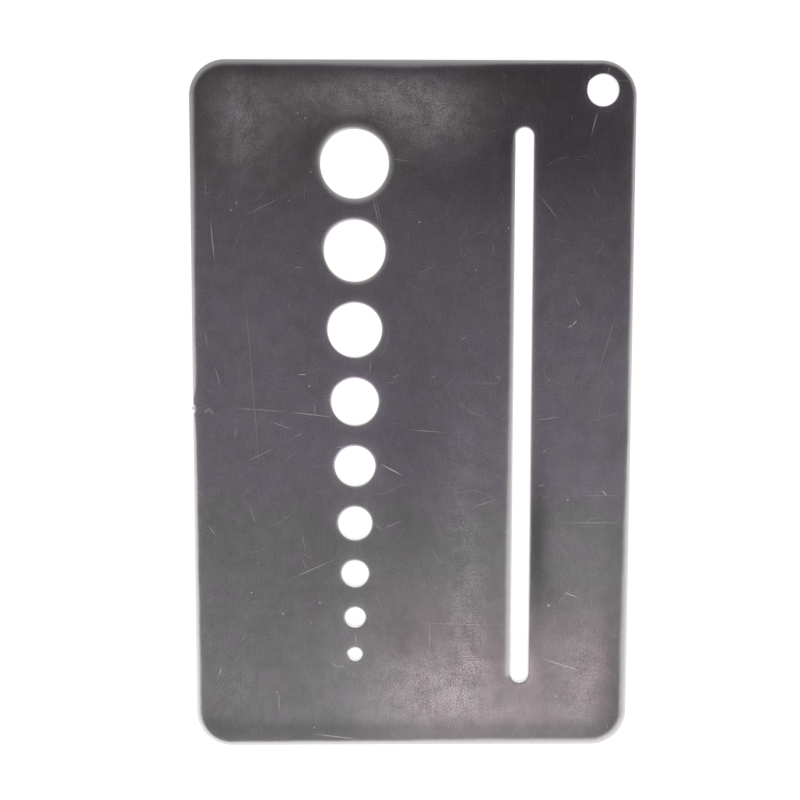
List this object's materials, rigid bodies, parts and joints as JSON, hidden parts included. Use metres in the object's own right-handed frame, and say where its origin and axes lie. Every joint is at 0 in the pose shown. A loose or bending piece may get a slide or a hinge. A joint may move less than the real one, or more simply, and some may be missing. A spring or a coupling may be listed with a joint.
{
  "type": "screw size gauge",
  "caption": "Card-sized flat steel plate with a graded column of round sizing holes, a long narrow slot and a small corner hole for a key ring.",
  "frame": {"origin": "middle of the resting face", "axes": "+Y along the card's length towards the largest hole, +X across it towards the slot, +Z out of the upper face"},
  "size_m": [0.0542, 0.085, 0.001],
  "materials": {
    "satin_steel": "dark satin steel with fine hairlines and light handling scratches, tumbled edges"
  },
  "bodies": {
    "root": {"gauge_plate": "satin_steel"}
  },
  "joints": []
}
